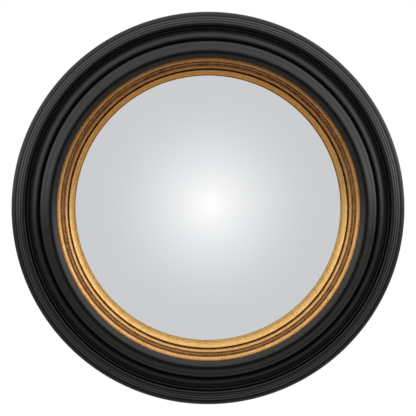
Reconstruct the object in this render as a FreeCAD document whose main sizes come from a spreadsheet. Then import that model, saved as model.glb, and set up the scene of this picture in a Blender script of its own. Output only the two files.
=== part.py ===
"""Round convex wall mirror with a turned black frame and a gilt slip, in millimetres.

X points right, Y from the front of the mirror to the wall, Z up. The origin is on the mirror's
axis, in the plane of the wall. In the turned sections a corner is given by its radius from the
axis and its rise, which is its distance forwards from the wall.
"""
import FreeCAD, Part
import math
import os
import re
import Sketcher

SIZES = {
    # Gilt slip: widths outwards and rises forwards, from the sight edge to the outer wall
    "sight_radius": 203.8,
    "lip_thick": 2.6,
    "ledge_depth": 4.4,
    "band_width": 8.0,
    "band_rise": 15.5,
    "band_bulge": 0.9,
    "band_quirk_width": 1.8,
    "band_quirk_depth": 1.6,
    "inner_bead_step": 1.2,
    "inner_bead_width": 5.0,
    "inner_bead_rise": 5.5,
    "inner_bead_bulge": 1.5,
    "first_hollow_width": 2.4,
    "first_hollow_rise": 0.3,
    "first_hollow_bulge": 0.6,
    "fine_reed_width": 2.0,
    "fine_reed_rise": 0.6,
    "fine_reed_bulge": 0.5,
    "second_hollow_width": 2.0,
    "second_hollow_rise": 0.5,
    "second_hollow_bulge": 0.5,
    "outer_bead_width": 6.0,
    "outer_bead_rise": 2.8,
    "outer_bead_bulge": 1.3,
    "slip_flange_width": 7.1,
    "slip_flange_thick": 4.0,
    # Bolection ring: a straight flank, a torus, a hollow and a round shoulder, tangent to each other
    "slip_step": 2.0,
    "inner_flank_width": 2.5,
    "inner_slope": 52.0,
    "torus_radius": 9.0,
    "outer_slope": 52.0,
    "hollow_radius": 4.5,
    "valley_slope": 18.0,
    "shoulder_radius": 9.0,
    "shoulder_slope": 80.0,
    "shoulder_edge_width": 0.5,
    "shoulder_edge_fall": 2.0,
    # Base ring: flange behind the bolection ring, then the front from the quirk to the rim
    "flange_thick": 10.0,
    "quirk_width": 3.0,
    "quirk_depth": 3.5,
    "cove_width": 12.4,
    "cove_rise": 10.0,
    "foot_quirk_width": 1.6,
    "foot_quirk_depth": 1.4,
    "bead_width": 2.7,
    "bead_rise": 0.8,
    "bead_bulge": 1.1,
    "rim_quirk_width": 1.8,
    "rim_quirk_depth": 1.6,
    "rim_bead_width": 7.6,
    "rim_bead_rise": 0.3,
    "rim_bead_bulge": 1.8,
    "inner_reed_width": 3.4,
    "inner_reed_fall": 2.3,
    "inner_reed_bulge": 0.5,
    "middle_reed_width": 4.0,
    "middle_reed_fall": 3.2,
    "middle_reed_bulge": 0.6,
    "outer_reed_width": 6.5,
    "outer_reed_fall": 4.7,
    "outer_reed_bulge": 0.9,
    "side_depth": 15.0,
    "side_taper": 2.5,
    "back_round": 2.0,
    # Glass, felt, setting blocks and back board in the rebate
    "rebate_width": 9.7,
    "glass_cover": 7.2,
    "glass_thick": 4.0,
    "dome_radius": 1000.0,
    "felt_thick": 0.6,
    "felt_inset": 0.6,
    "felt_width": 6.2,
    "board_thick": 3.0,
    "board_recess": 0.3,
    "board_gap": 0.8,
    "block_width": 9.5,
    "block_inset": 0.5,
    "block_angle": 8.0,
    "block_count": 8,
    # Turn buttons and their screws
    "button_count": 8,
    "button_inset": 9.0,
    "button_eye_radius": 7.0,
    "button_tongue_radius": 5.0,
    "button_reach": 14.0,
    "button_thick": 1.5,
    "button_edge_round": 0.4,
    "button_rib_width": 3.0,
    "button_rib_start": 6.0,
    "button_rib_height": 0.6,
    "button_screw_radius": 1.75,
    "button_screw_depth": 8.0,
    # Pan heads of the button and hanger screws
    "pan_head_radius": 3.4,
    "pan_head_height": 1.7,
    "pan_head_crown": 0.6,
    # Raised countersunk screws through the base ring's flange
    "ring_screw_count": 8,
    "ring_screw_inset": 33.0,
    "ring_screw_radius": 2.0,
    "ring_screw_head_radius": 4.0,
    "ring_screw_crown": 0.9,
    "ring_screw_length": 26.0,
    # Cross recess of every screw
    "recess_reach": 1.6,
    "recess_width": 0.8,
    "recess_depth": 0.9,
    # Strap hangers and their D-rings
    "hanger_angle": 42.0,
    "hanger_inset": 40.0,
    "strap_width": 12.0,
    "strap_thick": 1.2,
    "strap_length": 40.0,
    "strap_corner": 5.0,
    "eye_wrap": 250.0,
    "first_hole_drop": 11.0,
    "hole_spacing": 20.0,
    "hanger_screw_radius": 1.6,
    "hanger_screw_depth": 8.0,
    "ring_wire_radius": 1.4,
    "ring_inside_width": 20.0,
    "ring_corner": 3.0,
    "ring_side": 5.0,
    # Rubber bumpers, which set the gap to the wall
    "wall_gap": 6.0,
    "bumper_angle": 36.0,
    "bumper_inset": 40.0,
    "bumper_base_radius": 6.5,
    "bumper_top_radius": 4.5,
    "bumper_bulge": 0.9,
    # Clearances
    "slip_gap": 0.3,
    "seat_gap": 0.1,
    "screw_gap": 0.05,
    "strap_hole_gap": 0.2,
    "turning_gap": 0.3,
    "pivot_gap": 0.08,
    "eye_gap": 0.1,
}

doc = FreeCAD.newDocument("ConvexMirror")
sheet = doc.addObject("Spreadsheet::Sheet", "Sizes")
for row, (alias, number) in enumerate(SIZES.items(), start=1):
    sheet.set(f"A{row}", alias)
    sheet.set(f"B{row}", str(number))
    sheet.setAlias(f"B{row}", alias)
doc.recompute()

# Radii and rises that several pieces share
BACK_RISE = "wall_gap"
SEAT_RISE = "wall_gap + flange_thick"
LEDGE_RISE = f"{SEAT_RISE} + ledge_depth"
REBATE_RADIUS = "sight_radius + rebate_width"
GLASS_RADIUS = "sight_radius + glass_cover"
FELT_RADIUS = "sight_radius + felt_inset"
GLASS_APEX = f"{LEDGE_RISE} - felt_thick + dome_radius - sqrt(dome_radius^2 - ({FELT_RADIUS})^2)"
BOARD_RADIUS = f"{REBATE_RADIUS} - board_gap"
BOARD_BACK = f"{BACK_RISE} + board_recess"
BOARD_FRONT = f"{BOARD_BACK} + board_thick"
BUTTON_PIVOT = f"{REBATE_RADIUS} + button_inset"
BUTTON_FACE = f"{BACK_RISE} - turning_gap"
BUTTON_BACK = f"{BUTTON_FACE} - button_thick"
RING_SCREW_CIRCLE = f"{REBATE_RADIUS} + ring_screw_inset"
RING_SCREW_TIP = f"{BACK_RISE} + ring_screw_length"
EYE_INNER = "(ring_wire_radius + eye_gap)"
EYE_OUTER = f"({EYE_INNER} + strap_thick)"
EYE_RISE = f"{BACK_RISE} - {EYE_OUTER}"
STRAP_BACK = f"{BACK_RISE} - strap_thick"


def cells(text):
    """The expression with each size's name replaced by its cell in the sheet."""
    return re.sub(r"[a-z][a-z_]+", lambda m: f"Sizes.{m[0]}" if m[0] in SIZES else m[0], text)


def value(text):
    """What the expression comes to, as a plain number."""
    return float(sheet.evalExpression(cells(text)))


def around(circle, angle):
    """Places to the right of and above the axis, on a circle, at an angle clockwise from the top."""
    return f"({circle}) * sin({angle})", f"({circle}) * cos({angle})"


def bulged(width, rise, bulge):
    """Radius of the arc that joins two corners and stands out from their chord by the bulge."""
    return f"((({width})^2 + ({rise})^2) / 4 + ({bulge})^2) / (2 * ({bulge}))"


def dome(radius, depth):
    """Rise, at a radius, of the sphere that lies this far behind the front of the glass."""
    return f"{GLASS_APEX} - dome_radius + sqrt((dome_radius - ({depth}))^2 - ({radius})^2)"


def reed(name, sign, form="swell"):
    """Step along one bead, reed or hollow, which rises (+) or falls (-) outwards by its own sizes."""
    change = f"{name}_rise" if sign == "+" else f"{name}_fall"
    arc = bulged(f"{name}_width", change, f"{name}_bulge")
    return f"+ {name}_width", f"{sign} {change}", (form, arc)


def walk(radius, rise, steps):
    """Corners of a section, from the first one and the step to each next: out, forwards, arc."""
    corners = []
    for out, forwards, arc in steps:
        corners.append((radius, rise, arc))
        radius = f"{radius} {out}"
        rise = f"{rise} {forwards}"
    corners.append((radius, rise, None))
    return corners


def new_body(name):
    """An empty body whose label names its file."""
    body = doc.addObject("PartDesign::Body", name)
    body.Label = name
    return body


def origin_part(body, role):
    """The body's own origin plane or axis of that role."""
    return next(part for part in body.Origin.OriginFeatures if part.Role == role)


def arc_between(start, end, radius, turn_way):
    """Arc of under a half circle from start to end, turning left (1) or right (-1)."""
    chord = end - start
    aside = FreeCAD.Vector(-chord.y, chord.x, 0).normalize()
    reach = math.sqrt(radius**2 - (chord.Length / 2) ** 2)
    centre = (start + end) / 2 + aside * (turn_way * reach)
    first, last = [math.atan2(p.y - centre.y, p.x - centre.x) for p in (start, end)][::turn_way]
    return Part.ArcOfCircle(Part.Circle(centre, FreeCAD.Vector(0, 0, 1), radius), first, last)


def draw(body, name, role, corners, offset=("0", "0", "0")):
    """A closed sketch through the corners, each coordinate and arc radius bound to the sheet.

    The corners go round with the area on their left. A corner is (across, up, arc), where arc is
    None for a straight edge to the next corner, ("swell", radius) for one that stands out of the
    area, or ("hollow", radius) for one that cuts into it.
    """
    sketch = body.newObject("Sketcher::SketchObject", f"{body.Name}_{name}")
    sketch.AttachmentSupport = [(origin_part(body, role), "")]
    sketch.MapMode = "FlatFace"
    for axis, shift in zip("xyz", offset):
        sketch.setExpression(f"AttachmentOffset.Base.{axis}", cells(shift))
    points = [FreeCAD.Vector(value(across), value(up), 0) for across, up, _ in corners]
    edges = []
    ends = []
    for index, (_, _, arc) in enumerate(corners):
        start, end = points[index], points[(index + 1) % len(points)]
        turn_way = -1 if arc and arc[0] == "hollow" else 1
        ends.append((1, 2)[::turn_way])
        if arc:
            edges.append(arc_between(start, end, value(arc[1]), turn_way))
        else:
            edges.append(Part.LineSegment(start, end))
    rules = []
    bound = []
    for index, (across, up, arc) in enumerate(corners):
        follower = (index + 1) % len(corners)
        first, last = ends[index]
        rules.append(Sketcher.Constraint("Coincident", index, last, follower, ends[follower][0]))
        for kind, text, number, axis_line in (
            ("DistanceX", across, points[index].x, -2),
            ("DistanceY", up, points[index].y, -1),
        ):
            if text == "0":
                rules.append(Sketcher.Constraint("PointOnObject", index, first, axis_line))
            else:
                bound.append((len(rules), f"{kind}_{index}", text))
                rules.append(Sketcher.Constraint(kind, -1, 1, index, first, number))
        if arc:
            bound.append((len(rules), f"Arc_{index}", arc[1]))
            rules.append(Sketcher.Constraint("Radius", index, value(arc[1])))
    sketch.addGeometry(edges, False)
    sketch.addConstraint(rules)
    for index, rule, text in bound:
        sketch.renameConstraint(index, rule)
        sketch.setExpression(f"Constraints.{rule}", cells(text))
    return sketch


def turned(body, name, corners, right="0", high="0", kind="Revolution", angle="360"):
    """A section of (radius, rise, arc) corners turned about an axis along Y at (right, high).

    The kind is Revolution for material, or Groove for a cut.
    """
    drawn = [(radius, f"-({rise})", arc) for radius, rise, arc in corners]
    sketch = draw(body, f"{name}_section", "XY_Plane", drawn, (right, "0", high))
    feature = body.newObject(f"PartDesign::{kind}", f"{body.Name}_{name}")
    feature.Profile = sketch
    feature.ReferenceAxis = (sketch, ["V_Axis"])
    feature.setExpression("Angle", cells(angle))
    body.Tip = feature
    return feature


def plate(body, name, corners, right, high, rise, thick):
    """An outline seen from the front, padded from a rise towards the wall."""
    feature = body.newObject("PartDesign::Pad", f"{body.Name}_{name}")
    feature.Profile = draw(body, f"{name}_outline", "XZ_Plane", corners, (right, high, rise))
    feature.Reversed = True
    feature.setExpression("Length", cells(thick))
    return feature


def eased(body, name, base, radius, chosen):
    """Fillet on the edges of the base feature whose box the test chooses."""
    doc.recompute()
    edges = enumerate(base.Shape.Edges, start=1)
    fillet = body.newObject("PartDesign::Fillet", f"{body.Name}_{name}")
    fillet.Base = (base, [f"Edge{index}" for index, edge in edges if chosen(edge.BoundBox)])
    fillet.setExpression("Radius", cells(radius))
    return fillet


def ringed(body, name, features, count):
    """The features repeated round the mirror's axis."""
    pattern = body.newObject("PartDesign::PolarPattern", f"{body.Name}_{name}")
    pattern.Originals = features
    pattern.Axis = (origin_part(body, "Y_Axis"), [""])
    pattern.Angle = 360
    pattern.setExpression("Occurrences", cells(count))
    body.Tip = pattern


def place(body, right, rise, high):
    """The body moved so that its own origin lies at these sizes."""
    for axis, text in (("x", right), ("y", f"-({rise})"), ("z", high)):
        body.setExpression(f"Placement.Base.{axis}", cells(text))


def turn(body, angle):
    """The body turned about the mirror's axis, clockwise as seen from the front."""
    rotation = FreeCAD.Rotation(FreeCAD.Vector(0, 1, 0), value(angle))
    body.Placement = FreeCAD.Placement(FreeCAD.Vector(), rotation)
    body.setExpression("Placement.Rotation.Angle", cells(angle))


def drilled(radius, start, end):
    """Section of a drilled hole between two rises, with the drill's point at its far end."""
    return [
        ("0", f"{end} + ({radius}) / 2", None),
        (radius, end, None),
        (radius, start, None),
        ("0", start, None),
    ]


def cross_recess(body, name, right, high, face):
    """Cross recess cut forwards into a screw head whose face has that rise."""
    reach, half = "recess_reach", "recess_width / 2"
    arm = [(reach, half), (half, half), (half, reach)]
    corners = []
    for across, up in ((1, 1), (-1, 1), (-1, -1), (1, -1)):
        points = arm if across == up else arm[::-1]
        corners += [(f"{across} * {x}", f"{up} * {y}", None) for x, y in points]
    feature = body.newObject("PartDesign::Pocket", f"{body.Name}_{name}")
    feature.Profile = draw(body, f"{name}_outline", "XZ_Plane", corners, (right, high, face))
    feature.Reversed = True
    feature.setExpression("Length", cells("recess_depth"))
    body.Tip = feature
    return feature


def pan_screw(body, name, right, high, seat, radius, depth):
    """A pan-head screw whose head sits on the given rise, with its cross recess."""
    top = f"{seat} - pan_head_height"
    tip = f"{BACK_RISE} + {depth}"
    crown = "(pan_head_radius^2 + pan_head_crown^2) / (2 * pan_head_crown)"
    corners = [
        ("0", tip, None),
        (radius, f"{tip} - {radius}", None),
        (radius, seat, None),
        ("pan_head_radius", seat, None),
        ("pan_head_radius", f"{top} + pan_head_crown", ("swell", crown)),
        ("0", top, None),
    ]
    shank = turned(body, name, corners, right, high)
    return [shank, cross_recess(body, f"{name}_recess", right, high, top)]


def gilt_slip():
    """Gilt ring: a band beside the glass, two beads with a reeded hollow between, and a flange."""
    band = bulged("band_width", "band_rise", "band_bulge")
    front = walk(
        "sight_radius",
        f"{LEDGE_RISE} + lip_thick",
        [
            ("+ band_width", "+ band_rise", ("swell", band)),
            ("+ band_quirk_width / 2", "- band_quirk_depth", None),
            ("+ band_quirk_width / 2", "+ band_quirk_depth + inner_bead_step", None),
            reed("inner_bead", "+"),
            reed("first_hollow", "+", "hollow"),
            reed("fine_reed", "+"),
            reed("second_hollow", "+", "hollow"),
            reed("outer_bead", "+"),
        ],
    )
    wall, top, _ = front[-1]
    flange_front = f"{SEAT_RISE} + slip_flange_thick"
    back = [
        (wall, flange_front, None),
        (f"{wall} + slip_flange_width", flange_front, None),
        (f"{wall} + slip_flange_width", SEAT_RISE, None),
        (REBATE_RADIUS, SEAT_RISE, None),
        (REBATE_RADIUS, LEDGE_RISE, None),
        ("sight_radius", LEDGE_RISE, None),
    ]
    turned(new_body("gilt_slip"), "turning", front + back)
    return wall, top


def frame_bolection_ring(slip_wall, slip_top):
    """Raised black ring: its flank, torus, hollow and shoulder run on without a corner."""
    bore = f"{slip_wall} + slip_gap"
    front = walk(
        bore,
        f"{slip_top} + slip_step",
        [
            ("+ inner_flank_width", "+ inner_flank_width * tan(inner_slope)", None),
            (
                "+ torus_radius * sin(inner_slope)",
                "+ torus_radius * (1 - cos(inner_slope))",
                ("swell", "torus_radius"),
            ),
            (
                "+ torus_radius * sin(outer_slope)",
                "- torus_radius * (1 - cos(outer_slope))",
                ("swell", "torus_radius"),
            ),
            (
                "+ hollow_radius * (sin(outer_slope) - sin(valley_slope))",
                "- hollow_radius * (cos(valley_slope) - cos(outer_slope))",
                ("hollow", "hollow_radius"),
            ),
            (
                "+ shoulder_radius * (sin(shoulder_slope) - sin(valley_slope))",
                "- shoulder_radius * (cos(valley_slope) - cos(shoulder_slope))",
                ("swell", "shoulder_radius"),
            ),
            ("+ shoulder_edge_width", "- shoulder_edge_fall", None),
        ],
    )
    wall = front[-1][0]
    recess = f"{slip_wall} + slip_flange_width + slip_gap"
    recess_front = f"{SEAT_RISE} + slip_flange_thick + seat_gap"
    back = [
        (wall, SEAT_RISE, None),
        (recess, SEAT_RISE, None),
        (recess, recess_front, None),
        (bore, recess_front, None),
    ]
    body = new_body("frame_bolection_ring")
    turned(body, "turning", front + back)
    pilot = drilled("ring_screw_radius + screw_gap", SEAT_RISE, RING_SCREW_TIP)
    first = around(RING_SCREW_CIRCLE, "180 / ring_screw_count")
    hole = turned(body, "pilot", pilot, *first, kind="Groove")
    ringed(body, "pilots", [hole], "ring_screw_count")
    return wall


def frame_base_ring(bolection_wall):
    """Black ring that carries the rest: a flange at the back, and the cove and reeds in front."""
    recess = f"{bolection_wall} + slip_gap"
    crown = f"{BACK_RISE} + side_depth + outer_reed_fall + middle_reed_fall + inner_reed_fall"
    cove_foot = f"{crown} - rim_bead_rise - bead_rise"
    cove = "(cove_width^2 + cove_rise^2) / (2 * cove_rise)"
    front = walk(
        recess,
        f"{cove_foot} + cove_rise - quirk_depth",
        [
            ("+ quirk_width", "+ quirk_depth", None),
            ("+ cove_width", "- cove_rise", ("hollow", cove)),
            ("+ foot_quirk_width / 2", "- foot_quirk_depth", None),
            ("+ foot_quirk_width / 2", "+ foot_quirk_depth", None),
            reed("bead", "+"),
            ("+ rim_quirk_width / 2", "- rim_quirk_depth", None),
            ("+ rim_quirk_width / 2", "+ rim_quirk_depth", None),
            reed("rim_bead", "+"),
            reed("inner_reed", "-"),
            reed("middle_reed", "-"),
            reed("outer_reed", "-"),
        ],
    )
    rim = front[-1][0]
    back = [
        (f"{rim} - side_taper", f"{BACK_RISE} + back_round", ("swell", "back_round")),
        (f"{rim} - side_taper - back_round", BACK_RISE, None),
        (REBATE_RADIUS, BACK_RISE, None),
        (REBATE_RADIUS, SEAT_RISE, None),
        (recess, SEAT_RISE, None),
    ]
    body = new_body("frame_base_ring")
    turned(body, "turning", front + back)
    shank = "ring_screw_radius + screw_gap"
    sink = "ring_screw_head_radius + screw_gap"
    countersunk = [
        ("0", SEAT_RISE, None),
        (shank, SEAT_RISE, None),
        (shank, f"{BACK_RISE} + {sink} - ({shank})", None),
        (sink, BACK_RISE, None),
        ("0", BACK_RISE, None),
    ]
    first = around(RING_SCREW_CIRCLE, "180 / ring_screw_count")
    hole = turned(body, "ring_screw_hole", countersunk, *first, kind="Groove")
    ringed(body, "ring_screw_holes", [hole], "ring_screw_count")
    pilot = drilled("button_screw_radius + screw_gap", BACK_RISE, f"{BACK_RISE} + button_screw_depth")
    first = around(BUTTON_PIVOT, "180 / button_count")
    hole = turned(body, "button_pilot", pilot, *first, kind="Groove")
    ringed(body, "button_pilots", [hole], "button_count")
    pilot = drilled("hanger_screw_radius + screw_gap", BACK_RISE, f"{BACK_RISE} + hanger_screw_depth")
    for name, right, high in hanger_holes():
        turned(body, f"hanger_pilot_{name}", pilot, right, high, kind="Groove")


def hanger_place(sign):
    """Places to the right of and above the axis of a hanger's eye, on the left (-1) or right (1)."""
    return around(f"{REBATE_RADIUS} + hanger_inset", f"{sign} * hanger_angle")


def hanger_holes():
    """Name and place of each of the four hanger screws."""
    holes = []
    for side, sign in (("left", -1), ("right", 1)):
        right, high = hanger_place(sign)
        for index in (0, 1):
            below = f"- first_hole_drop - {index} * hole_spacing"
            holes.append((f"{side}_{index}", right, f"{high} {below}"))
    return holes


def mirror_glass():
    """Domed glass of even thickness with a square rim."""
    back_arc = ("hollow", "dome_radius - glass_thick")
    corners = [
        ("0", GLASS_APEX, ("swell", "dome_radius")),
        (GLASS_RADIUS, dome(GLASS_RADIUS, "0"), None),
        (GLASS_RADIUS, dome(GLASS_RADIUS, "glass_thick"), back_arc),
        ("0", f"{GLASS_APEX} - glass_thick", None),
    ]
    turned(new_body("mirror_glass"), "turning", corners)


def glass_felt_ring():
    """Felt strip that fills the wedge between the slip's ledge and the front of the glass."""
    outer = f"{FELT_RADIUS} + felt_width"
    corners = [
        (FELT_RADIUS, LEDGE_RISE, None),
        (outer, LEDGE_RISE, None),
        (outer, dome(outer, "-seat_gap"), ("hollow", "dome_radius + seat_gap")),
        (FELT_RADIUS, dome(FELT_RADIUS, "-seat_gap"), None),
    ]
    turned(new_body("glass_felt_ring"), "turning", corners)


def setting_blocks():
    """Cork blocks between the back board and the back of the glass, at its rim."""
    outer = f"{GLASS_RADIUS} - block_inset"
    inner = f"{outer} - block_width"
    depth = "glass_thick + seat_gap"
    corners = [
        (inner, dome(inner, depth), ("swell", f"dome_radius - ({depth})")),
        (outer, dome(outer, depth), None),
        (outer, BOARD_FRONT, None),
        (inner, BOARD_FRONT, None),
    ]
    body = new_body("setting_blocks")
    block = turned(body, "block", corners, angle="block_angle")
    ringed(body, "blocks", [block], "block_count")


def back_board():
    """Hardboard disc, set a little below the back of the frame."""
    corners = [
        ("0", BOARD_FRONT, None),
        (BOARD_RADIUS, BOARD_FRONT, None),
        (BOARD_RADIUS, BOARD_BACK, None),
        ("0", BOARD_BACK, None),
    ]
    turned(new_body("back_board"), "turning", corners)


def turn_button(number):
    """Pressed steel button: a round eye, a tapering tongue over the board, and a raised rib."""
    body = new_body(f"turn_button_{number}")
    lean = "((button_eye_radius - button_tongue_radius) / button_reach)"
    square = f"sqrt(1 - {lean}^2)"
    eye_side = f"button_eye_radius * {square}"
    eye_low = f"-(button_eye_radius * {lean})"
    tip_side = f"button_tongue_radius * {square}"
    tip_low = f"-(button_reach + button_tongue_radius * {lean})"
    eye, tongue = ("swell", "button_eye_radius"), ("swell", "button_tongue_radius")
    outline = [
        (eye_side, eye_low, eye),
        ("0", "button_eye_radius", eye),
        (f"-({eye_side})", eye_low, None),
        (f"-({tip_side})", tip_low, tongue),
        ("0", "-(button_reach + button_tongue_radius)", tongue),
        (tip_side, tip_low, None),
    ]
    pressed = plate(body, "plate", outline, "0", BUTTON_PIVOT, BUTTON_FACE, "button_thick")
    back_face = -value(BUTTON_BACK)
    eased(body, "edge", pressed, "button_edge_round", lambda box: abs(box.YMin - back_face) < 1e-4)
    half = "(button_rib_width / 2)"
    end = ("swell", half)
    rib = [
        (half, "-button_rib_start", end),
        ("0", f"{half} - button_rib_start", end),
        (f"-{half}", "-button_rib_start", None),
        (f"-{half}", "-button_reach", end),
        ("0", f"-{half} - button_reach", end),
        (half, "-button_reach", None),
    ]
    plate(body, "rib", rib, "0", BUTTON_PIVOT, BUTTON_BACK, "button_rib_height")
    bore = "button_screw_radius + pivot_gap"
    corners = [
        ("0", BUTTON_FACE, None),
        (bore, BUTTON_FACE, None),
        (bore, BUTTON_BACK, None),
        ("0", BUTTON_BACK, None),
    ]
    turned(body, "bore", corners, high=BUTTON_PIVOT, kind="Groove")
    turn(body, f"360 / button_count * ({number} - 0.5)")


def turn_button_screws():
    """Pan-head screws that the turn buttons turn on."""
    body = new_body("turn_button_screws")
    right, high = around(BUTTON_PIVOT, "180 / button_count")
    seat = f"{BUTTON_BACK} - pivot_gap"
    screw = pan_screw(body, "screw", right, high, seat, "button_screw_radius", "button_screw_depth")
    ringed(body, "screws", screw, "button_count")


def ring_screws():
    """Raised countersunk screws that draw the bolection ring down onto the base ring."""
    body = new_body("ring_screws")
    radius, head = "ring_screw_radius", "ring_screw_head_radius"
    crown = "(ring_screw_head_radius^2 + ring_screw_crown^2) / (2 * ring_screw_crown)"
    top = f"{BACK_RISE} - ring_screw_crown"
    corners = [
        ("0", RING_SCREW_TIP, None),
        (radius, f"{RING_SCREW_TIP} - 2 * {radius}", None),
        (radius, f"{BACK_RISE} + {head} - {radius}", None),
        (head, BACK_RISE, ("swell", crown)),
        ("0", top, None),
    ]
    right, high = around(RING_SCREW_CIRCLE, "180 / ring_screw_count")
    screw = turned(body, "screw", corners, right, high)
    recess = cross_recess(body, "recess", right, high, top)
    ringed(body, "screws", [screw, recess], "ring_screw_count")


def hanger_screws():
    """Pan-head screws that fix the two straps to the base ring."""
    body = new_body("hanger_screws")
    for name, right, high in hanger_holes():
        pan_screw(body, name, right, high, STRAP_BACK, "hanger_screw_radius", "hanger_screw_depth")


def hanger_strap(side, sign):
    """Steel strap, its upper end rolled round the D-ring's bar, with two screw holes below."""
    body = new_body(f"hanger_strap_{side}")
    steps = [f"eye_wrap / 3 * {step}" for step in range(4)]
    inside = [(f"-{EYE_INNER} * cos({s})", f"{EYE_INNER} * sin({s})") for s in steps]
    outside = [(f"-{EYE_OUTER} * cos({s})", f"{EYE_OUTER} * sin({s})") for s in steps[::-1]]
    # From the side: up the strap's outer face, round the bar, and back down against the frame
    outline = [(f"-{EYE_OUTER}", "-strap_length", None), (f"-{EYE_INNER}", "-strap_length", None)]
    outline += [(across, up, ("hollow", EYE_INNER)) for across, up in inside[:-1]]
    outline += [(*inside[-1], None)]
    outline += [(across, up, ("swell", EYE_OUTER)) for across, up in outside[:-1]]
    outline += [(*outside[-1], None)]
    strip = body.newObject("PartDesign::Pad", f"{body.Name}_strip")
    strip.Profile = draw(body, "strip_side", "YZ_Plane", outline)
    strip.Midplane = True
    strip.setExpression("Length", cells("strap_width"))
    low_end = -value("strap_length")
    eased(
        body,
        "corners",
        strip,
        "strap_corner",
        lambda box: abs(box.ZMax - low_end) < 1e-4 and box.XLength < 1e-4,
    )
    hole = "hanger_screw_radius + strap_hole_gap"
    bore = [
        ("0", EYE_OUTER, None),
        (hole, EYE_OUTER, None),
        (hole, EYE_INNER, None),
        ("0", EYE_INNER, None),
    ]
    for index in (0, 1):
        below = f"-first_hole_drop - {index} * hole_spacing"
        turned(body, f"hole_{index}", bore, high=below, kind="Groove")
    right, high = hanger_place(sign)
    place(body, right, EYE_RISE, high)


def hanger_ring(side, sign):
    """D-ring of round wire: a straight bar in the strap's eye, two sides and a round top."""
    body = new_body(f"hanger_ring_{side}")
    half = "(ring_inside_width / 2 + ring_wire_radius)"
    bar = f"({half} - ring_corner)"
    corner, top = ("swell", "ring_corner"), ("swell", half)
    path = [
        ("0", "0", None),
        (bar, "0", corner),
        (half, "ring_corner", None),
        (half, "ring_side", top),
        ("0", f"ring_side + {half}", top),
        (f"-{half}", "ring_side", None),
        (f"-{half}", "ring_corner", corner),
        (f"-{bar}", "0", None),
    ]
    wire = ("swell", "ring_wire_radius")
    round_wire = [
        ("ring_wire_radius", "0", wire),
        ("0", "ring_wire_radius", wire),
        ("-ring_wire_radius", "0", wire),
        ("0", "-ring_wire_radius", wire),
    ]
    bent = body.newObject("PartDesign::AdditivePipe", f"{body.Name}_bent")
    bent.Profile = draw(body, "wire", "YZ_Plane", round_wire)
    bent.Spine = (draw(body, "path", "XZ_Plane", path), [])
    body.Tip = bent
    right, high = hanger_place(sign)
    place(body, right, EYE_RISE, high)


def wall_bumper(side, sign):
    """Rubber bumper with a flat face towards the wall and a rounded flank."""
    body = new_body(f"wall_bumper_{side}")
    flank = bulged("bumper_base_radius - bumper_top_radius", "wall_gap", "bumper_bulge")
    corners = [
        ("0", "wall_gap", None),
        ("bumper_base_radius", "wall_gap", ("swell", flank)),
        ("bumper_top_radius", "0", None),
        ("0", "0", None),
    ]
    turned(body, "moulding", corners)
    right, high = around(f"{REBATE_RADIUS} + bumper_inset", f"180 - {sign} * bumper_angle")
    place(body, right, "0", high)


slip_outer_wall, slip_front = gilt_slip()
bolection_outer_wall = frame_bolection_ring(slip_outer_wall, slip_front)
frame_base_ring(bolection_outer_wall)
mirror_glass()
glass_felt_ring()
setting_blocks()
back_board()
for button in range(1, int(SIZES["button_count"]) + 1):
    turn_button(button)
turn_button_screws()
ring_screws()
hanger_screws()
for hand, direction in (("left", -1), ("right", 1)):
    hanger_strap(hand, direction)
    hanger_ring(hand, direction)
    wall_bumper(hand, direction)
doc.recompute()

pieces = [thing for thing in doc.Objects if thing.TypeId == "PartDesign::Body"]
for thing in doc.Objects:
    if "Invalid" in thing.State or "Error" in thing.State:
        raise RuntimeError(f"{thing.Name} failed: {thing.State}")
for piece in pieces:
    if piece.Shape.isNull() or not piece.Shape.isValid():
        raise RuntimeError(f"{piece.Label} has no valid shape")

os.makedirs("parts", exist_ok=True)
for piece in pieces:
    piece.Shape.exportStep(f"parts/{piece.Label}.step")
    print(piece.Label, len(piece.Shape.Solids), "solids", round(piece.Shape.Volume), "mm3")
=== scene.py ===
import math

import bpy
import numpy as np
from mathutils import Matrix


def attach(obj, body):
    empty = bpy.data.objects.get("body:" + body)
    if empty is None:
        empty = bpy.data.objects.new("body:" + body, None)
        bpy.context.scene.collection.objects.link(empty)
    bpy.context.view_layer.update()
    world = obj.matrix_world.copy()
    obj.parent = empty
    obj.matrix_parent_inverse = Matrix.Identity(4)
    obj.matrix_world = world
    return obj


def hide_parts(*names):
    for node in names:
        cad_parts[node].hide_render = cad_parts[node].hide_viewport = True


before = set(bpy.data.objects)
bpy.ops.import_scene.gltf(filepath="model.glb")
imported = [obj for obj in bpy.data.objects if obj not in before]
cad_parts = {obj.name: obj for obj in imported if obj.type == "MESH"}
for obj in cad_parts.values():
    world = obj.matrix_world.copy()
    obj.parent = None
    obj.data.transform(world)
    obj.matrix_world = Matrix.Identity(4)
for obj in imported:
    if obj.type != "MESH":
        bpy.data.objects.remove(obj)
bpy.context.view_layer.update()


# Base ring: the outer ring of the frame, glued up from blocks of wood, turned on a lathe and
# sprayed with black lacquer. From the middle outwards it has a quirk, a cove, two beads and
# three reeds that step down to the rim. Every other piece is fixed to it.


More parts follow.
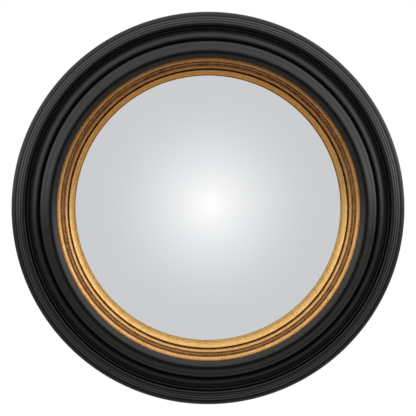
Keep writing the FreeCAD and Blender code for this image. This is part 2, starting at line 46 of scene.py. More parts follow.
def moulding(start, steps, back, ease=0.5, level=4.0):
    """Points of a closed turned section, in mm, with their length along it and their hollowness.

    Each step is (out, forwards, bulge): the chord to the next corner, and how far its arc stands
    out from it. At the share f, from -1 to 1, of an arc of half-angle a, a point is sin(fa) / sin a
    half chords along, and (cos(fa) - cos a) / sin a across. The corners of the back follow, joined
    by straight edges. A moving average over ease each way rounds every edge. A point's hollowness
    is how far, in mm, it lies below the average of the section for 2.5 mm each way. A point is kept
    for every 11 degrees that the section turns, and every level mm where it is straight.
    """
    arc_points, spacing, hollow_reach, kept_turn = 48, 0.1, 2.5, math.radians(11)
    front = np.vstack([start, start + np.cumsum(np.array(steps)[:, :2], axis=0)])
    corners = np.vstack([front, back])
    bulge = np.zeros(len(corners))
    bulge[: len(steps)] = np.array(steps)[:, 2]
    chord = np.roll(corners, -1, axis=0) - corners
    across = np.stack([-chord[:, 1], chord[:, 0]], axis=1)
    half = 2 * np.arctan2(2 * bulge, np.hypot(*chord.T))
    half = np.where(abs(half) < 1e-6, 1e-6, half)[:, None]
    share = np.linspace(-1, 1, arc_points, endpoint=False)[None, :]
    along = np.sin(share * half) / np.sin(half)
    aside = (np.cos(share * half) - np.cos(half)) / np.sin(half)
    middle = corners + chord / 2
    line = middle[:, None] + chord[:, None] / 2 * along[..., None]
    line = (line + across[:, None] / 2 * aside[..., None]).reshape(-1, 2)
    line = np.vstack([line, line[:1]])

    length = np.append(0, np.cumsum(np.hypot(*np.diff(line, axis=0).T)))
    place = np.arange(0, length[-1], spacing)
    even = np.stack([np.interp(place, length, line[:, i]) for i in (0, 1)], axis=1)

    def averaged(points, reach):
        window = np.hanning(max(3, int(2 * reach / spacing) | 1))
        window /= window.sum()
        spare = len(window) // 2
        wrapped = np.vstack([points[-spare:], points, points[:spare]])
        return np.stack([np.convolve(wrapped[:, i], window, "valid") for i in (0, 1)], axis=1)

    even = averaged(even, ease)
    tangent = np.roll(even, -1, axis=0) - np.roll(even, 1, axis=0)
    outward = np.stack([-tangent[:, 1], tangent[:, 0]], axis=1) / np.hypot(*tangent.T)[:, None]
    hollow = ((averaged(even, hollow_reach) - even) * outward).sum(axis=1)
    turn = np.unwrap(np.arctan2(tangent[:, 1], tangent[:, 0]))
    need = spacing / level + abs(np.diff(turn, append=turn[-1])) / kept_turn
    count = np.append(0, np.cumsum(need))[:-1]
    chosen = np.linspace(0, count[-1], int(count[-1]), endpoint=True)
    kept = [np.interp(chosen, count, values) for values in (even[:, 0], even[:, 1], place, hollow)]
    return np.stack(kept, axis=1)


def turning(name, section, turns=256):
    """A closed section carried round the Y axis: at the angle a, clockwise from the top as seen
    from the front, a point of it lies at (radius sin a, -rise, radius cos a)."""
    radius, rise, along, hollow = section.T[:, :, None]
    angle = np.linspace(0, 2 * math.pi, turns, endpoint=False)
    spots = np.broadcast_arrays(radius * np.sin(angle), -rise, radius * np.cos(angle))
    points = np.stack(spots, axis=-1).reshape(-1, 3) * 0.001
    index = np.arange(len(points)).reshape(len(section), turns)
    beside = np.roll(index, -1, axis=1)
    quads = [index, beside, np.roll(beside, -1, axis=0), np.roll(index, -1, axis=0)]
    mesh = bpy.data.meshes.new(name)
    mesh.from_pydata(points.tolist(), [], np.stack(quads, axis=-1).reshape(-1, 4).tolist())
    for label, values in (("along", along), ("hollow", hollow)):
        kept = np.broadcast_to(values, index.shape).astype(np.float32).ravel()
        mesh.attributes.new(label, "FLOAT", "POINT").data.foreach_set("value", kept)
    mesh.shade_smooth()
    piece = bpy.data.objects.new(name, mesh)
    bpy.context.scene.collection.objects.link(piece)
    return piece


def linear(code):
    """The linear colour, with alpha, of an sRGB hex code."""
    channels = [int(code[i : i + 2], 16) / 255 for i in (1, 3, 5)]
    return *(c / 12.92 if c <= 0.04045 else ((c + 0.055) / 1.055) ** 2.4 for c in channels), 1.0


def add(tree, kind, inputs=(), **settings):
    """Adds a node of that kind to the tree with its settings, and gives each named input a value,
    or a link from the output that stands in the value's place."""
    node = tree.nodes.new("ShaderNode" + kind)
    for name, value in settings.items():
        setattr(node, name, value)
    for socket, value in dict(inputs).items():
        if isinstance(value, bpy.types.NodeSocket):
            tree.links.new(value, node.inputs[socket])
        else:
            node.inputs[socket].default_value = value
    return node


def material(name):
    """An empty node material, its tree, and the output that takes the surface."""
    made = bpy.data.materials.new(name)
    made.use_nodes = True
    made.node_tree.nodes.clear()
    return made, made.node_tree, add(made.node_tree, "OutputMaterial")


# Radii and rises where the rings meet, in mm, and the gaps that are left between them.
rebate_radius, bore_radius, flange_radius, recess_radius = 213.5, 231.55, 238.4, 257.02
back_rise, seat_rise, flange_rise, ledge_rise = 6.0, 16.0, 20.1, 20.4
side_gap, front_gap = 0.3, 0.1

reed_quirk = [(0.25, -0.4, 0), (0.25, 0.1, 0)]
base_section = moulding(
    start=(recess_radius, 36.6),
    steps=[
        (3.0, 3.5, 0),  # outer wall of the quirk beside the bolection ring
        (0.4, -3.3, 0),  # wall of the cove
        (12.0, -6.7, -2.3),  # cove
        (0.8, -1.4, 0),  # quirk
        (0.8, 1.4, 0),
        (2.3, 1.5, 0.5),  # small bead, facing inwards
        (0.5, -2.6, 0),  # quirk
        (1.7, 1.9, 0),
        (7.35, 0.3, 1.8),  # rim bead
        *reed_quirk,
        (2.9, -2.0, 0.5),  # first reed
        *reed_quirk,
        (3.5, -2.9, 0.6),  # second reed
        *reed_quirk,
        (6.25, -4.4, 0.95),  # third reed, as far as the rim
        (-2.5, -13.0, 0),  # outer wall, undercut towards the back
        (-2.0, -2.0, 0.586),  # round edge of the back
    ],
    back=[(rebate_radius, back_rise), (rebate_radius, seat_rise), (recess_radius, seat_rise)],
    ease=0.3,
)
base_ring = turning("base_ring", base_section)
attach(base_ring, "mirror")
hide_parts("frame_base_ring")

# Satin nitrocellulose lacquer over ebonised wood: nearly black, with a soft sheen, slightly
# uneven from spraying. The ridges of the reeds, from a radius of 285 mm outwards, are painted
# paler: partly rubbed wear where hands and dusters touch, partly a painted highlight.
lacquer, tree, output = material("satin_black_lacquer")
place = add(tree, "TexCoord").outputs["Object"]
hollow = add(tree, "Attribute", attribute_name="hollow").outputs["Fac"]
cloud = add(tree, "TexNoise", {"Vector": place, "Scale": 1 / 0.045, "Detail": 4.0})
peel = add(tree, "TexNoise", {"Vector": place, "Scale": 1 / 0.0012, "Detail": 2.0})
spot = add(tree, "SeparateXYZ", {"Vector": place})
flat = add(tree, "CombineXYZ", {"X": spot.outputs["X"], "Z": spot.outputs["Z"]}).outputs["Vector"]
reach = add(tree, "VectorMath", {0: flat}, operation="LENGTH").outputs["Value"]
ridge = add(
    tree,
    "MapRange",
    {"Value": hollow, "From Min": -0.05, "From Max": -0.1, "To Min": 0.0, "To Max": 1.0},
).outputs["Result"]
held = add(
    tree,
    "MapRange",
    {"Value": reach, "From Min": 0.2835, "From Max": 0.2865, "To Min": 0.1, "To Max": 1.0},
).outputs["Result"]
# Painted highlight and wear: the ridges of the reeds are painted paler than the black of the lacquer.
rub_and_highlight = add(tree, "Math", {0: ridge, 1: held}, operation="MULTIPLY").outputs[0]
tone = add(
    tree,
    "MixRGB",
    {"Fac": rub_and_highlight, "Color1": linear("#090909"), "Color2": linear("#3a3938")},
)
sheen = add(
    tree,
    "MapRange",
    {"Value": cloud.outputs["Fac"], "From Min": 0.3, "From Max": 0.7, "To Min": 0.27, "To Max": 0.34},
)
skin = add(tree, "Bump", {"Height": peel.outputs["Fac"], "Strength": 0.05, "Distance": 0.0002})
shader = add(
    tree,
    "BsdfPrincipled",
    {
        "Base Color": tone.outputs["Color"],
        "Roughness": sheen.outputs["Result"],
        "Normal": skin.outputs["Normal"],
    },
)
tree.links.new(shader.outputs["BSDF"], output.inputs["Surface"])
base_ring.data.materials.append(lacquer)

# Black-stained lime wood on the flat back, which isn't lacquered: dull, with the grain of the eight
# blocks that the ring is glued up from showing through, each along its own length, and dark joints.
stained, tree, output = material("black_stained_wood")
place = add(tree, "TexCoord").outputs["Object"]
spot = add(tree, "SeparateXYZ", {"Vector": place})
turn = add(tree, "Math", {0: spot.outputs["X"], 1: spot.outputs["Z"]}, operation="ARCTAN2").outputs[0]
eighths = add(tree, "Math", {0: turn, 1: 4 / math.pi}, operation="MULTIPLY").outputs[0]
block = add(tree, "Math", {0: eighths}, operation="FLOOR").outputs[0]
within = add(tree, "Math", {0: eighths}, operation="FRACT").outputs[0]
middle = add(tree, "Math", {0: block, 1: math.pi / 4, 2: math.pi / 8}, operation="MULTIPLY_ADD").outputs[0]
turned = add(
    tree, "VectorRotate", {"Vector": place, "Angle": middle}, rotation_type="Y_AXIS", invert=True
).outputs["Vector"]
drawn = add(tree, "VectorMath", {0: turned, 1: (0.06, 0.3, 1.0)}, operation="MULTIPLY").outputs["Vector"]
moved = add(tree, "CombineXYZ", {"X": block, "Y": block, "Z": block}).outputs["Vector"]
own = add(tree, "VectorMath", {0: drawn, 1: moved}, operation="ADD").outputs["Vector"]
figure = add(tree, "TexNoise", {"Vector": own, "Scale": 1 / 0.004, "Detail": 5.0}).outputs["Fac"]
grain = add(tree, "MapRange", {"Value": figure, "From Min": 0.35, "From Max": 0.68}).outputs["Result"]
wood = add(
    tree, "MixRGB", {"Fac": grain, "Color1": linear("#15110e"), "Color2": linear("#30261d")}
).outputs["Color"]
joint_edge = add(tree, "Math", {0: within, 1: 0.5, 2: 0.5}, operation="PINGPONG").outputs[0]
joint = add(
    tree, "MapRange", {"Value": joint_edge, "From Max": 0.004, "To Min": 0.8, "To Max": 0.0}
).outputs["Result"]
tone = add(
    tree, "MixRGB", {"Fac": joint, "Color1": wood, "Color2": linear("#070605")}
).outputs["Color"]
pores = add(tree, "Bump", {"Height": figure, "Strength": 0.3, "Distance": 0.0003}).outputs["Normal"]
shader = add(tree, "BsdfPrincipled", {"Base Color": tone, "Roughness": 0.8, "Normal": pores})
tree.links.new(shader.outputs["BSDF"], output.inputs["Surface"])
base_ring.data.materials.append(stained)
eased_edge = 0.4
rings_on_back = base_section[:, 1] < back_rise + eased_edge
on_back = np.repeat(rings_on_back, len(base_ring.data.polygons) // len(base_section))
base_ring.data.polygons.foreach_set("material_index", on_back.astype(np.int32))


# Bolection ring: the raised black ring that stands in the base ring's recess and covers the edge
# of the slip. It is turned from one ring of wood, with a narrow fillet, a straight flank, and a
# torus, a hollow and a shoulder that run into each other. Screws from the back draw it down.


def bend(radius, before, after):
    """Step along an arc whose slope, in degrees of rise, goes from one value to another: it swells
    where the slope falls, and is hollow where it rises."""
    first, last = math.radians(before), math.radians(after)
    sign = 1 if last < first else -1
    out = sign * radius * (math.sin(first) - math.sin(last))
    forwards = sign * radius * (math.cos(last) - math.cos(first))
    return out, forwards, sign * radius * (1 - math.cos((first - last) / 2))


bolection_section = moulding(
    start=(bore_radius, 51.4),
    steps=[
        (0.8, 0.6, 0.1),  # fillet
        (1.45, 2.6, 0),  # flank
        bend(9.0, 52, 0),  # torus, up to its crest
        bend(9.0, 0, -52),
        bend(4.5, -52, -18),  # hollow
        bend(9.0, -18, -80),  # shoulder
        (0.5, -2.0, 0),  # inner wall of the quirk beside the base ring
    ],
    back=[
        (recess_radius - side_gap, seat_rise),
        (flange_radius, seat_rise),
        (flange_radius, flange_rise),
        (bore_radius, flange_rise),
    ],
)
bolection_ring = turning("bolection_ring", bolection_section)
bolection_ring.data.materials.append(lacquer)
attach(bolection_ring, "mirror")
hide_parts("frame_bolection_ring")


# Gilt slip: the reeded ring beside the glass, run in gesso on wood and laid with gold leaf over
# red bole. It drops into the bolection ring from behind, and its lip holds the glass.

slip_section = moulding(
    start=(204.2, ledge_rise),
    steps=[
        (0.0, 2.6, 0),  # sight edge
        (7.6, 15.5, 0.9),  # band
        (0.9, -1.6, 0),  # quirk
        (0.9, 2.8, 0),
        (5.0, 5.5, 1.5),  # inner bead
        (2.4, 0.3, -0.6),  # hollow with one reed in it
        (2.0, 0.6, 0.5),
        (2.0, 0.5, -0.5),
        (6.25, 2.8, 0.7),  # outer bead
    ],
    back=[
        (bore_radius - side_gap, flange_rise - front_gap),
        (flange_radius - side_gap, flange_rise - front_gap),
        (flange_radius - side_gap, seat_rise),
        (rebate_radius, seat_rise),
        (rebate_radius, ledge_rise),
    ],
    ease=0.3,
)
gilt_slip = turning("slip", slip_section, turns=360)
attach(gilt_slip, "mirror")
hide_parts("gilt_slip")

# Water-gilt leaf over red bole, toned with umber: warm gold on the band, browner on the beads, dark
# in the quirks where the glaze was left. It is streaked along the run, specked, nicked through to
# the bole on the edges, and crossed by fine cracks in the gesso. The upper half is painted redder
# and darker than the lower, most of all beside the glass: painted shade.
gilding, tree, output = material("antique_gold_leaf")
place = add(tree, "TexCoord").outputs["Object"]
hollow = add(tree, "Attribute", attribute_name="hollow").outputs["Fac"]
along = add(tree, "Attribute", attribute_name="along").outputs["Fac"]
spot = add(tree, "SeparateXYZ", {"Vector": place})
turn = add(tree, "Math", {0: spot.outputs["X"], 1: spot.outputs["Z"]}, operation="ARCTAN2").outputs[0]
streak_stretch = 12
lane = add(tree, "Math", {0: along, 1: 0.001 * streak_stretch}, operation="MULTIPLY").outputs[0]
run = add(tree, "CombineXYZ", {"X": spot.outputs["X"], "Y": lane, "Z": spot.outputs["Z"]}).outputs[0]
streak = add(tree, "TexNoise", {"Vector": run, "Scale": 1 / 0.014, "Detail": 5.0}).outputs["Fac"]
mottle = add(tree, "TexNoise", {"Vector": place, "Scale": 1 / 0.009, "Detail": 4.0}).outputs["Fac"]
chip = add(tree, "TexNoise", {"Vector": run, "Scale": 1 / 0.006, "Detail": 3.0}).outputs["Fac"]
speck = add(tree, "TexNoise", {"Vector": place, "Scale": 1 / 0.0016, "Detail": 2.0}).outputs["Fac"]

# The leaf is streaked pale and deep. It is browner beyond the band, which ends 20 mm along the
# section from the back of the lip. The redder tint in the upper half, strongest beside the glass, is
# painted shade.
leaf = add(tree, "MapRange", {"Value": streak, "From Min": 0.36, "From Max": 0.64}).outputs["Result"]
gold = add(
    tree, "MixRGB", {"Fac": leaf, "Color1": linear("#eeb268"), "Color2": linear("#ffdd9a")}
).outputs["Color"]
washed = add(
    tree, "MapRange", {"Value": along, "From Min": 19.6, "From Max": 22.6, "To Max": 0.4}
).outputs["Result"]
brown = add(
    tree, "MixRGB", {"Fac": washed, "Color1": gold, "Color2": linear("#c07038")}
).outputs["Color"]
# Painted shade: towards the top, and most of all beside the glass, the gold is tinted redder and darker.
upper_half_shade = add(
    tree, "MapRange", {"Value": spot.outputs["Z"], "From Min": 0.0, "From Max": 0.14}
).outputs["Result"]
shade_near_glass = add(
    tree, "MapRange", {"Value": along, "From Min": 5.0, "From Max": 16.0, "To Min": 0.5, "To Max": 0.2}
).outputs["Result"]
upper_shade_by_glass = add(tree, "Math", {0: upper_half_shade, 1: shade_near_glass}, operation="MULTIPLY").outputs[0]
gold_shaded_above = add(
    tree, "MixRGB", {"Fac": upper_shade_by_glass, "Color1": brown, "Color2": linear("#cc7034")}
).outputs["Color"]

# Gesso cracks: about eighty across the run, at uneven angles, each a third of a millimetre wide.
crack_edge = add(
    tree, "TexVoronoi", {"W": turn, "Scale": 13.0}, voronoi_dimensions="1D", feature="DISTANCE_TO_EDGE"
).outputs["Distance"]
crack = add(
    tree, "MapRange", {"Value": crack_edge, "From Max": 0.02, "To Min": 0.55, "To Max": 0.0}
).outputs["Result"]
ridge = add(tree, "Math", {0: hollow, 1: -0.12, 2: chip}, operation="MULTIPLY_ADD").outputs[0]
nick = add(
    tree, "MapRange", {"Value": ridge, "From Min": 0.63, "From Max": 0.7, "To Max": 0.9}
).outputs["Result"]
dot = add(tree, "MapRange", {"Value": speck, "From Min": 0.62, "From Max": 0.72}).outputs["Result"]
worn = add(tree, "Math", {0: nick, 1: dot}, operation="MAXIMUM").outputs[0]
flaw = add(tree, "Math", {0: worn, 1: crack}, operation="MAXIMUM").outputs[0]
bole = add(
    tree, "MixRGB", {"Fac": flaw, "Color1": gold_shaded_above, "Color2": linear("#51301c")}
).outputs["Color"]

# The umber was brushed on as a thin glaze, through which the leaf still shines, and wiped off the
# high parts. The glaze is painted heavier in the upper half, as painted shade. Each pair is a length
# along the section, in mm from the back of the lip, and the share of the glaze that is left there.
glazed_length = 48.6
part_way = add(tree, "Math", {0: along, 1: glazed_length}, operation="DIVIDE").outputs[0]
wiped = add(tree, "ValToRGB", {"Fac": part_way})
# The first stops, up to 3.4 mm, darken the sight edge beside the glass: painted shade where the lip meets
# the glass.
left_over = [
    (0.0, 0.12),
    (2.2, 0.1),
    (3.4, 0.0),
    (18.0, 0.0),
    (19.2, 0.18),
    (20.0, 1.0),
    (27.4, 1.0),
    (29.8, 0.06),
    (32.0, 0.1),
    (33.6, 0.9),
    (35.6, 0.9),
    (36.8, 0.5),
    (38.0, 0.6),
    (39.0, 0.9),
    (40.4, 0.9),
    (41.8, 0.04),
    (43.9, 0.04),
    (44.4, 0.45),
    (44.9, 0.04),
    (47.0, 0.04),
    (47.6, 0.3),
]
stops = wiped.color_ramp.elements
for number, (length, share) in enumerate(left_over):
    stop = stops[number] if number < 2 else stops.new(1.0)
    stop.position, stop.color = length / glazed_length, (share, share, share, 1.0)
uneven = add(
    tree,
    "MapRange",
    {"Value": mottle, "From Min": 0.3, "From Max": 0.7, "To Min": 0.75, "To Max": 1.15},
).outputs["Result"]
# Painted shade: the glaze is left heavier towards the top, and lighter by about a fifth at the bottom.
upper_shade_glaze = add(tree, "MapRange", {"Value": upper_half_shade, "To Min": 0.79, "To Max": 1.0}).outputs["Result"]
coat = add(tree, "Math", {0: uneven, 1: upper_shade_glaze}, operation="MULTIPLY").outputs[0]
glaze = add(
    tree,
    "Math",
    {0: wiped.outputs["Color"], 1: coat},
    operation="MULTIPLY",
    use_clamp=True,
).outputs[0]
toned = add(
    tree, "MixRGB", {"Fac": glaze, "Color1": bole, "Color2": linear("#45251a")}
).outputs["Color"]
bare = add(tree, "Math", {0: glaze, 1: flaw}, operation="MAXIMUM").outputs[0]
metal = add(tree, "MapRange", {"Value": bare, "To Min": 1.0, "To Max": 0.85}).outputs["Result"]
burnish = add(tree, "MapRange", {"Value": bare, "To Min": 0.38, "To Max": 0.5}).outputs["Result"]
grain = add(tree, "Bump", {"Height": streak, "Strength": 0.25, "Distance": 0.0004}).outputs["Normal"]
shader = add(
    tree,
    "BsdfPrincipled",
    {
        "Base Color": toned,
        "Metallic": metal,
        "Roughness": burnish,
        "Specular Tint": linear("#ecbc74"),
        "Normal": grain,
    },
)
tree.links.new(shader.outputs["BSDF"], output.inputs["Surface"])
gilt_slip.data.materials.append(gilding)


# Felt ring: a strip of thin wool felt glued under the slip's lip, so that the glass beds softly and
# doesn't rattle.


def dress(finish, *names):
    """Gives the solids of these nodes that material alone."""
    for name in names:
        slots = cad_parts[name].data.materials
        slots.clear()
        slots.append(finish)


# Wool felt: charcoal and quite dull, with paler fibres lying every way.
felt, tree, output = material("wool_felt")
place = add(tree, "TexCoord").outputs["Object"]
fibre = add(tree, "TexNoise", {"Vector": place, "Scale": 1 / 0.0007, "Detail": 5.0}).outputs["Fac"]
tuft = add(tree, "MapRange", {"Value": fibre, "From Min": 0.38, "From Max": 0.66}).outputs["Result"]
tone = add(
    tree, "MixRGB", {"Fac": tuft, "Color1": linear("#1b1a19"), "Color2": linear("#3a3835")}
).outputs["Color"]
nap = add(tree, "Bump", {"Height": fibre, "Strength": 0.6, "Distance": 0.0003}).outputs["Normal"]
shader = add(
    tree, "BsdfPrincipled", {"Base Color": tone, "Roughness": 0.95, "Sheen Weight": 0.3, "Normal": nap}
)
tree.links.new(shader.outputs["BSDF"], output.inputs["Surface"])
dress(felt, "glass_felt_ring")


# Mirror glass: a disc of 4 mm float glass, bent over a mould to a dome of 1 m radius and silvered
# on its back. Its rim lies under the slip's lip, on felt.


def bowl(name, radius, rim, thick, apex, rings=64, turns=256):
    """A spherical cap of even thickness about the Y axis. At a share s of the rim's radius the
    front lies at the rise apex - R + sqrt(R^2 - (s rim)^2), and the back at that of the sphere
    whose radius is smaller by the thickness. Each side closes on one point at the axis."""
    share = np.linspace(0, 1, rings + 1)[1:]
    reach = np.concatenate([share, share[::-1]]) * rim
    sphere = np.repeat([radius, radius - thick], rings)
    rise = apex - radius + np.sqrt(sphere**2 - reach**2)
    angle = np.linspace(0, 2 * math.pi, turns, endpoint=False)
    reach, rise = reach[:, None], rise[:, None]
    spots = np.broadcast_arrays(reach * np.sin(angle), -rise, reach * np.cos(angle))
    points = np.stack(spots, axis=-1).reshape(-1, 3)
    poles = [[0, -apex, 0], [0, thick - apex, 0]]
    index = np.arange(len(points)).reshape(2 * rings, turns)
    beside = np.roll(index, -1, axis=1)
    quads = np.stack([index[:-1], beside[:-1], beside[1:], index[1:]], axis=-1).reshape(-1, 4)
    front = np.stack([beside[0], index[0], np.full(turns, len(points))], axis=-1)
    rear = np.stack([index[-1], beside[-1], np.full(turns, len(points) + 1)], axis=-1)
    mesh = bpy.data.meshes.new(name)
    mesh.from_pydata(
        np.vstack([points, poles]).tolist(), [], quads.tolist() + front.tolist() + rear.tolist()
    )
    mesh.shade_smooth()
    mesh.set_sharp_from_angle(angle=math.radians(40))
    piece = bpy.data.objects.new(name, mesh)
    bpy.context.scene.collection.objects.link(piece)
    return piece


dome_radius = 1.0
felt_reach, felt_rise = 0.2044, 0.0198  # where the front of the glass bears on the felt
glass_apex = felt_rise + dome_radius - math.sqrt(dome_radius**2 - felt_reach**2)
glass = bowl("glass", radius=dome_radius, rim=0.211, thick=0.004, apex=glass_apex)
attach(glass, "mirror")
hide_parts("mirror_glass")

# Silvered glass: a clean sharp mirror, with the faint cool tint of float glass and a hardly visible
# unevenness in the silvering.
silvering, tree, output = material("silvered_glass")
place = add(tree, "TexCoord").outputs["Object"]
haze = add(tree, "TexNoise", {"Vector": place, "Scale": 1 / 0.06, "Detail": 3.0}).outputs["Fac"]
tone = add(
    tree, "MixRGB", {"Fac": haze, "Color1": linear("#fbfcfd"), "Color2": linear("#ffffff")}
).outputs["Color"]
shader = add(tree, "BsdfPrincipled", {"Base Color": tone, "Metallic": 1.0, "Roughness": 0.0})
tree.links.new(shader.outputs["BSDF"], output.inputs["Surface"])
glass.data.materials.append(silvering)


# Setting blocks: eight short pieces cut from agglomerated cork, which fill the space between the
# rim of the glass and the back board and press the glass on its felt.

# Agglomerated cork: tan granules of 2 to 3 mm, each of its own tone, in a darker binder.
cork, tree, output = material("agglomerated_cork")
place = add(tree, "TexCoord").outputs["Object"]
granules = {"Vector": place, "Scale": 1 / 0.0026}
granule = add(tree, "TexVoronoi", granules)
seam = add(tree, "TexVoronoi", granules, feature="DISTANCE_TO_EDGE").outputs["Distance"]
shade = add(tree, "SeparateColor", {"Color": granule.outputs["Color"]}).outputs["Red"]
tan = add(
    tree, "MixRGB", {"Fac": shade, "Color1": linear("#8a5f3a"), "Color2": linear("#c59a6a")}
).outputs["Color"]
binder = add(
    tree, "MapRange", {"Value": seam, "From Max": 0.06, "To Min": 0.8, "To Max": 0.0}
).outputs["Result"]
tone = add(
    tree, "MixRGB", {"Fac": binder, "Color1": tan, "Color2": linear("#4a2f1c")}
).outputs["Color"]
shader = add(tree, "BsdfPrincipled", {"Base Color": tone, "Roughness": 0.9})
tree.links.new(shader.outputs["BSDF"], output.inputs["Surface"])
dress(cork, "setting_blocks")


# Back board: a disc sawn from 3 mm hardboard, which is wood fibre pressed hot in sheets. It closes
# the back of the mirror and keeps dust off the silvering.

# Hardboard: smooth mid brown, with short darker fibres, paler flecks and a slow drift of tone.
hardboard, tree, output = material("tempered_hardboard")
place = add(tree, "TexCoord").outputs["Object"]
drift = add(tree, "TexNoise", {"Vector": place, "Scale": 1 / 0.09, "Detail": 3.0}).outputs["Fac"]
fibre = add(
    tree, "TexNoise", {"Vector": place, "Scale": 1 / 0.0022, "Detail": 6.0, "Distortion": 1.5}
).outputs["Fac"]
fleck = add(tree, "TexNoise", {"Vector": place, "Scale": 1 / 0.0014, "Detail": 2.0}).outputs["Fac"]
broad = add(tree, "MapRange", {"Value": drift, "From Min": 0.35, "From Max": 0.65}).outputs["Result"]
ground = add(
    tree, "MixRGB", {"Fac": broad, "Color1": linear("#5f4029"), "Color2": linear("#714e33")}
).outputs["Color"]
strand = add(
    tree, "MapRange", {"Value": fibre, "From Min": 0.5, "From Max": 0.72, "To Max": 0.6}
).outputs["Result"]
fibred = add(
    tree, "MixRGB", {"Fac": strand, "Color1": ground, "Color2": linear("#3d2717")}
).outputs["Color"]
bright = add(
    tree, "MapRange", {"Value": fleck, "From Min": 0.66, "From Max": 0.76, "To Max": 0.6}
).outputs["Result"]
tone = add(
    tree, "MixRGB", {"Fac": bright, "Color1": fibred, "Color2": linear("#a07a52")}
).outputs["Color"]
rub = add(tree, "MapRange", {"Value": drift, "To Min": 0.45, "To Max": 0.65}).outputs["Result"]
press = add(tree, "Bump", {"Height": fibre, "Strength": 0.15, "Distance": 0.0002}).outputs["Normal"]
shader = add(tree, "BsdfPrincipled", {"Base Color": tone, "Roughness": rub, "Normal": press})
tree.links.new(shader.outputs["BSDF"], output.inputs["Surface"])
dress(hardboard, "back_board")


# Turn buttons: eight small tongues pressed from sheet steel with a stiffening rib, zinc plated.
# Each turns on its screw, over the edge of the back board or clear of it.

# Zinc plate, passivated: a pale bluish metal, faintly blotched, with a fine satin grain.
zinc, tree, output = material("zinc_plated_steel")
place = add(tree, "TexCoord").outputs["Object"]
blotch = add(tree, "TexNoise", {"Vector": place, "Scale": 1 / 0.005, "Detail": 3.0}).outputs["Fac"]
satin = add(tree, "TexNoise", {"Vector": place, "Scale": 1 / 0.0004, "Detail": 3.0}).outputs["Fac"]
cloud = add(tree, "MapRange", {"Value": blotch, "From Min": 0.35, "From Max": 0.65}).outputs["Result"]
tone = add(
    tree, "MixRGB", {"Fac": cloud, "Color1": linear("#a9acae"), "Color2": linear("#c9c9c4")}
).outputs["Color"]
gleam = add(tree, "MapRange", {"Value": blotch, "To Min": 0.25, "To Max": 0.5}).outputs["Result"]
tooth = add(tree, "Bump", {"Height": satin, "Strength": 0.12, "Distance": 0.0001}).outputs["Normal"]
shader = add(
    tree,
    "BsdfPrincipled",
    {"Base Color": tone, "Metallic": 1.0, "Roughness": gleam, "Normal": tooth},
)
tree.links.new(shader.outputs["BSDF"], output.inputs["Surface"])
dress(zinc, *(f"turn_button_{number}" for number in range(1, 9)))


# Screws: zinc plated steel with cross recesses. Eight pan heads are the pivots of the turn buttons,
# eight raised countersunk heads draw the bolection ring down, and four pan heads hold the straps.

dress(zinc, "turn_button_screws", "ring_screws", "hanger_screws")


# Hanger straps and D-rings: two strips of steel, folded round the straight side of a D-ring bent
# from wire, both zinc plated. The mirror hangs from the rings on two hooks.

dress(zinc, "hanger_strap_left", "hanger_strap_right", "hanger_ring_left", "hanger_ring_right")


# Wall bumpers: two domed buttons moulded in black rubber, stuck near the lower edge, which hold the
# frame off the wall.

# Moulded rubber: nearly black and dull, bloomed a little grey, with dust in the surface.
rubber, tree, output = material("moulded_rubber")
place = add(tree, "TexCoord").outputs["Object"]
bloom = add(tree, "TexNoise", {"Vector": place, "Scale": 1 / 0.004, "Detail": 3.0}).outputs["Fac"]
dust = add(tree, "TexNoise", {"Vector": place, "Scale": 1 / 0.0006, "Detail": 2.0}).outputs["Fac"]
grey = add(tree, "MapRange", {"Value": bloom, "From Min": 0.35, "From Max": 0.7}).outputs["Result"]
skin = add(
    tree, "MixRGB", {"Fac": grey, "Color1": linear("#161617"), "Color2": linear("#262627")}
).outputs["Color"]
mote = add(
    tree, "MapRange", {"Value": dust, "From Min": 0.66, "From Max": 0.74, "To Max": 0.5}
).outputs["Result"]
tone = add(
    tree, "MixRGB", {"Fac": mote, "Color1": skin, "Color2": linear("#5a5854")}
).outputs["Color"]
shader = add(tree, "BsdfPrincipled", {"Base Color": tone, "Roughness": 0.75})
tree.links.new(shader.outputs["BSDF"], output.inputs["Surface"])
dress(rubber, "wall_bumper_left", "wall_bumper_right")


# The setting: a pale floor 1.6 m below the mirror's middle, as under a wall at eye height, and a
# white studio round it. The floor stays out of the mirror.

floor_half, floor_drop = 2.5, 1.6
floor_points = floor_half * np.array([[-1, -1], [1, -1], [1, 1], [-1, 1]])
floor_mesh = bpy.data.meshes.new("floor")
floor_mesh.from_pydata(np.insert(floor_points, 2, -floor_drop, axis=1).tolist(), [], [[0, 1, 2, 3]])
floor = bpy.data.objects.new("floor", floor_mesh)
bpy.context.scene.collection.objects.link(floor)
floor.visible_glossy = False

pale, tree, output = material("pale_floor")
seen = add(tree, "LightPath").outputs["Is Camera Ray"]
matt = add(tree, "BsdfDiffuse", {"Color": linear("#d9d9d9")})
white = add(tree, "Emission", {"Color": (1, 1, 1, 1), "Strength": 1.0})
both = add(
    tree,
    "MixShader",
    {"Fac": seen, 1: matt.outputs["BSDF"], 2: white.outputs["Emission"]},
)
tree.links.new(both.outputs["Shader"], output.inputs["Surface"])
floor.data.materials.append(pale)

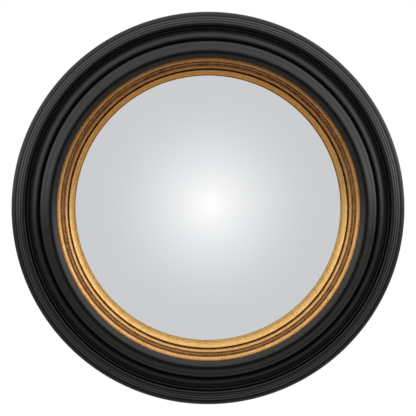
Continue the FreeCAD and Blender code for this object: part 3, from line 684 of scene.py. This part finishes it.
# The studio is a light tent. Its upper half is bright, most of all low down, where light boxes stand
# round it, and its right side is a little brighter than its left. Its lower half is dim and warm.
world = bpy.data.worlds.new("studio")
bpy.context.scene.world = world
world.use_nodes = True
tree = world.node_tree
tree.nodes.clear()
output = add(tree, "OutputWorld")
way = add(tree, "TexCoord").outputs["Generated"]
aim = add(tree, "SeparateXYZ", {"Vector": way})
upward = add(
    tree,
    "MapRange",
    {"Value": aim.outputs["Z"], "From Min": -0.13, "From Max": 0.05},
    interpolation_type="SMOOTHSTEP",
).outputs["Result"]
low_down = add(
    tree, "MapRange", {"Value": aim.outputs["Z"], "From Min": 1.0, "From Max": 0.1}
).outputs["Result"]
boxes = add(tree, "Math", {0: low_down, 1: 2.0}, operation="POWER").outputs[0]
upper = add(tree, "Math", {0: boxes, 1: 0.55, 2: 1.15}, operation="MULTIPLY_ADD").outputs[0]
lower = (0.46, 0.447, 0.43, 1)
tent = add(tree, "MixRGB", {"Fac": upward, "Color1": lower, "Color2": upper}).outputs["Color"]
sideways = add(
    tree, "Math", {0: aim.outputs["X"], 1: 0.16, 2: 1.0}, operation="MULTIPLY_ADD"
).outputs[0]


def angle_from(axis):
    """The angle, in radians, between the way that a ray goes and that axis."""
    cosine = add(tree, "VectorMath", {0: way, 1: axis}, operation="DOT_PRODUCT").outputs["Value"]
    return add(tree, "Math", {0: cosine}, operation="ARCCOSINE").outputs[0]


# The tent is open towards the camera, and dark there. The opening lies a little low and to the right.
opening_axis = (0.07, -0.985, -0.157)
opening = add(
    tree,
    "MapRange",
    {
        "Value": angle_from(opening_axis),
        "From Min": math.radians(27),
        "From Max": math.radians(42),
        "To Min": 0.08,
    },
).outputs["Result"]
share = add(tree, "Math", {0: sideways, 1: opening}, operation="MULTIPLY").outputs[0]
dome = add(tree, "VectorMath", {0: tent, "Scale": share}, operation="SCALE").outputs["Vector"]

# In the glass, whose reflections alone are sharp, the opening holds a white screen that shades off
# to grey, and the tent is dimmer, so that the glass stands out from the white behind the mirror.
screen_axis = (math.sin(math.radians(1.5)), -0.9987, -math.sin(math.radians(2.5)))
off_screen = angle_from(screen_axis)
near = add(
    tree,
    "MapRange",
    {"Value": off_screen, "From Max": math.radians(21.5), "To Min": 1.0, "To Max": 0.0},
).outputs["Result"]
glow = add(tree, "Math", {0: near, 1: 1.7}, operation="POWER").outputs[0]
screen = add(
    tree, "MixRGB", {"Fac": glow, "Color1": linear("#cdced0"), "Color2": (1.03, 1.03, 1.03, 1)}
).outputs["Color"]
beyond = add(
    tree,
    "MapRange",
    {"Value": off_screen, "From Min": math.radians(28), "From Max": math.radians(40), "To Max": 0.85},
).outputs["Result"]
ray = add(tree, "LightPath")
fade = add(
    tree,
    "MapRange",
    {"Value": ray.outputs["Ray Depth"], "From Min": 2.0, "From Max": 3.0, "To Min": 0.52},
).outputs["Result"]
wall = add(tree, "VectorMath", {0: dome, "Scale": fade}, operation="SCALE").outputs["Vector"]
mirrored = add(tree, "MixRGB", {"Fac": beyond, "Color1": screen, "Color2": wall}).outputs["Color"]
unseen = add(
    tree, "MixRGB", {"Fac": ray.outputs["Is Singular Ray"], "Color1": dome, "Color2": mirrored}
).outputs["Color"]

# To the camera the studio is white.
light = add(
    tree, "MixRGB", {"Fac": ray.outputs["Is Camera Ray"], "Color1": unseen, "Color2": (1, 1, 1, 1)}
).outputs["Color"]
studio = add(tree, "Background", {"Color": light, "Strength": 1.0}).outputs["Background"]
tree.links.new(studio, output.inputs["Surface"])

# The camera stands 8 m before the rim, a little above the mirror's middle and to the left of it.
# The rim, 0.6 m across, takes up 393 of the picture's 416 pixels.
rim_place = np.array([-0.0002, -0.021, 0.0006])
distance, rim_width = 8.0, 0.6
rim_pixels, picture_pixels = 393.2, 416
azimuth, elevation = math.radians(-1.15), math.radians(3.3)
back = np.array(
    [
        math.sin(azimuth) * math.cos(elevation),
        -math.cos(azimuth) * math.cos(elevation),
        math.sin(elevation),
    ]
)
lens = bpy.data.cameras.new("camera")
lens.sensor_width = 36.0
lens.lens = lens.sensor_width * distance * (rim_pixels / rim_width) / picture_pixels
camera = bpy.data.objects.new("camera", lens)
bpy.context.scene.collection.objects.link(camera)
camera.location = rim_place + back * distance
camera.rotation_euler = (math.pi / 2 - elevation, 0, azimuth)
bpy.context.scene.camera = camera
bpy.context.scene.view_settings.view_transform = "Standard"
